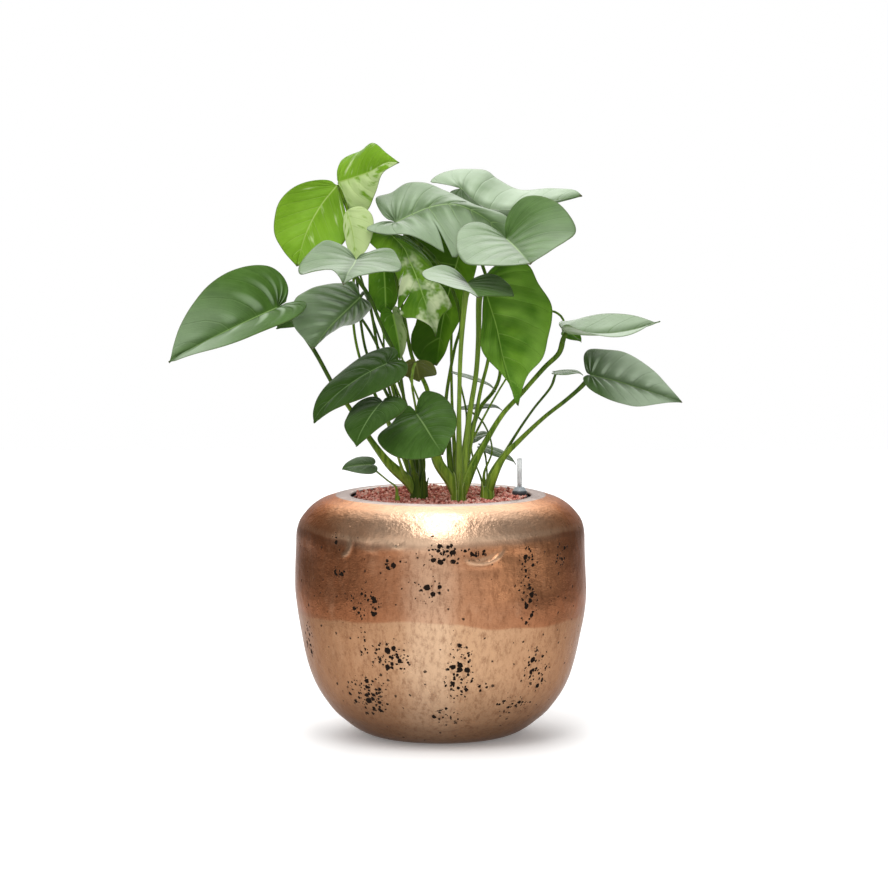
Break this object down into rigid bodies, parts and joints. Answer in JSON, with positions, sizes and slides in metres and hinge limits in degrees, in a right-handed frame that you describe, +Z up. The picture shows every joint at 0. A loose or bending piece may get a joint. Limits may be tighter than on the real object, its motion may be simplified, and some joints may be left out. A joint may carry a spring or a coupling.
{
  "type": "potted swiss cheese plant",
  "caption": "Young swiss cheese plant with heart-shaped leaves on long stalks, in a culture pot of clay granules with a water gauge, set in a round bronze pot.",
  "frame": {"origin": "centre of the pot's foot, on the surface it stands on", "axes": "+Z up, +X to the viewer's right, +Y away from the viewer"},
  "size_m": [0.6391, 0.3648, 0.7397],
  "materials": {
    "bronze": "polished bronze with a hand-worked, pitted surface and a darker band",
    "riser_plastic": "matte",
    "culture_plastic": "matte",
    "clay_granules": "rough fired clay and lava grains",
    "gauge_plastic": "satin",
    "gauge_clear": "clear plastic tube",
    "gauge_float": "satin",
    "stalks_left_green": "living stalk tissue, smooth and slightly waxy",
    "stalks_middle_green": "living stalk tissue, smooth and slightly waxy",
    "stalks_right_green": "living stalk tissue, smooth and slightly waxy",
    "stalk_tiny_green": "living stalk tissue, smooth and slightly waxy",
    "leaf_top_left_green": "living leaf tissue, waxy with pale veins",
    "leaf_top_crown_green": "living leaf tissue, waxy with pale veins",
    "leaf_far_left_green": "living leaf tissue, waxy with pale veins",
    "leaf_pale_left_green": "living leaf tissue, waxy with pale veins",
    "leaf_under_left_green": "living leaf tissue, waxy with pale veins",
    "leaf_behind_left_green": "living leaf tissue, waxy with pale veins",
    "leaf_upper_middle_green": "living leaf tissue, waxy with pale veins",
    "leaf_upper_right_green": "living leaf tissue, waxy with pale veins",
    "leaf_shoulder_right_green": "living leaf tissue, waxy with pale veins",
    "leaf_hanging_right_green": "living leaf tissue, waxy with pale veins",
    "leaf_pale_centre_green": "living leaf tissue, waxy with pale veins",
    "leaf_split_young_green": "living leaf tissue, waxy with pale veins",
    "leaf_young_yellow_green": "living leaf tissue, waxy with pale veins",
    "leaf_dark_middle_green": "living leaf tissue, waxy with pale veins",
    "leaf_right_upper_green": "living leaf tissue, waxy with pale veins",
    "leaf_right_lower_green": "living leaf tissue, waxy with pale veins",
    "leaf_low_left_green": "living leaf tissue, waxy with pale veins",
    "leaf_low_round_green": "living leaf tissue, waxy with pale veins",
    "leaf_low_front_green": "living leaf tissue, waxy with pale veins",
    "leaf_olive_green": "living leaf tissue, waxy with pale veins",
    "leaf_tiny_left_green": "living leaf tissue, waxy with pale veins",
    "leaf_tiny_middle_green": "living leaf tissue, waxy with pale veins",
    "leaf_tiny_right_green": "living leaf tissue, waxy with pale veins",
    "leaf_back_pale_green": "living leaf tissue, waxy with pale veins",
    "leaf_back_low_green": "living leaf tissue, waxy with pale veins",
    "leaf_bright_hanging_green": "living leaf tissue, waxy with pale veins",
    "leaf_two_tone_green": "living leaf tissue, waxy with pale veins",
    "leaf_sliver_green": "living leaf tissue, waxy with pale veins",
    "leaf_edge_on_green": "living leaf tissue, waxy with pale veins"
  },
  "bodies": {
    "root": {"pot": "bronze", "riser": "riser_plastic", "culture_pot": "culture_plastic", "granules": "clay_granules", "gauge_head": "gauge_plastic", "gauge_tube": "gauge_clear", "gauge_needle": "gauge_float", "stalks_left": "stalks_left_green", "stalks_middle": "stalks_middle_green", "stalks_right": "stalks_right_green", "stalk_tiny": "stalk_tiny_green", "leaf_top_left": "leaf_top_left_green", "leaf_top_crown": "leaf_top_crown_green", "leaf_far_left": "leaf_far_left_green", "leaf_pale_left": "leaf_pale_left_green", "leaf_under_left": "leaf_under_left_green", "leaf_behind_left": "leaf_behind_left_green", "leaf_upper_middle": "leaf_upper_middle_green", "leaf_upper_right": "leaf_upper_right_green", "leaf_shoulder_right": "leaf_shoulder_right_green", "leaf_hanging_right": "leaf_hanging_right_green", "leaf_pale_centre": "leaf_pale_centre_green", "leaf_split_young": "leaf_split_young_green", "leaf_young_yellow": "leaf_young_yellow_green", "leaf_dark_middle": "leaf_dark_middle_green", "leaf_right_upper": "leaf_right_upper_green", "leaf_right_lower": "leaf_right_lower_green", "leaf_low_left": "leaf_low_left_green", "leaf_low_round": "leaf_low_round_green", "leaf_low_front": "leaf_low_front_green", "leaf_olive": "leaf_olive_green", "leaf_tiny_left": "leaf_tiny_left_green", "leaf_tiny_middle": "leaf_tiny_middle_green", "leaf_tiny_right": "leaf_tiny_right_green", "leaf_back_pale": "leaf_back_pale_green", "leaf_back_low": "leaf_back_low_green", "leaf_bright_hanging": "leaf_bright_hanging_green", "leaf_two_tone": "leaf_two_tone_green", "leaf_sliver": "leaf_sliver_green", "leaf_edge_on": "leaf_edge_on_green"}
  },
  "joints": []
}
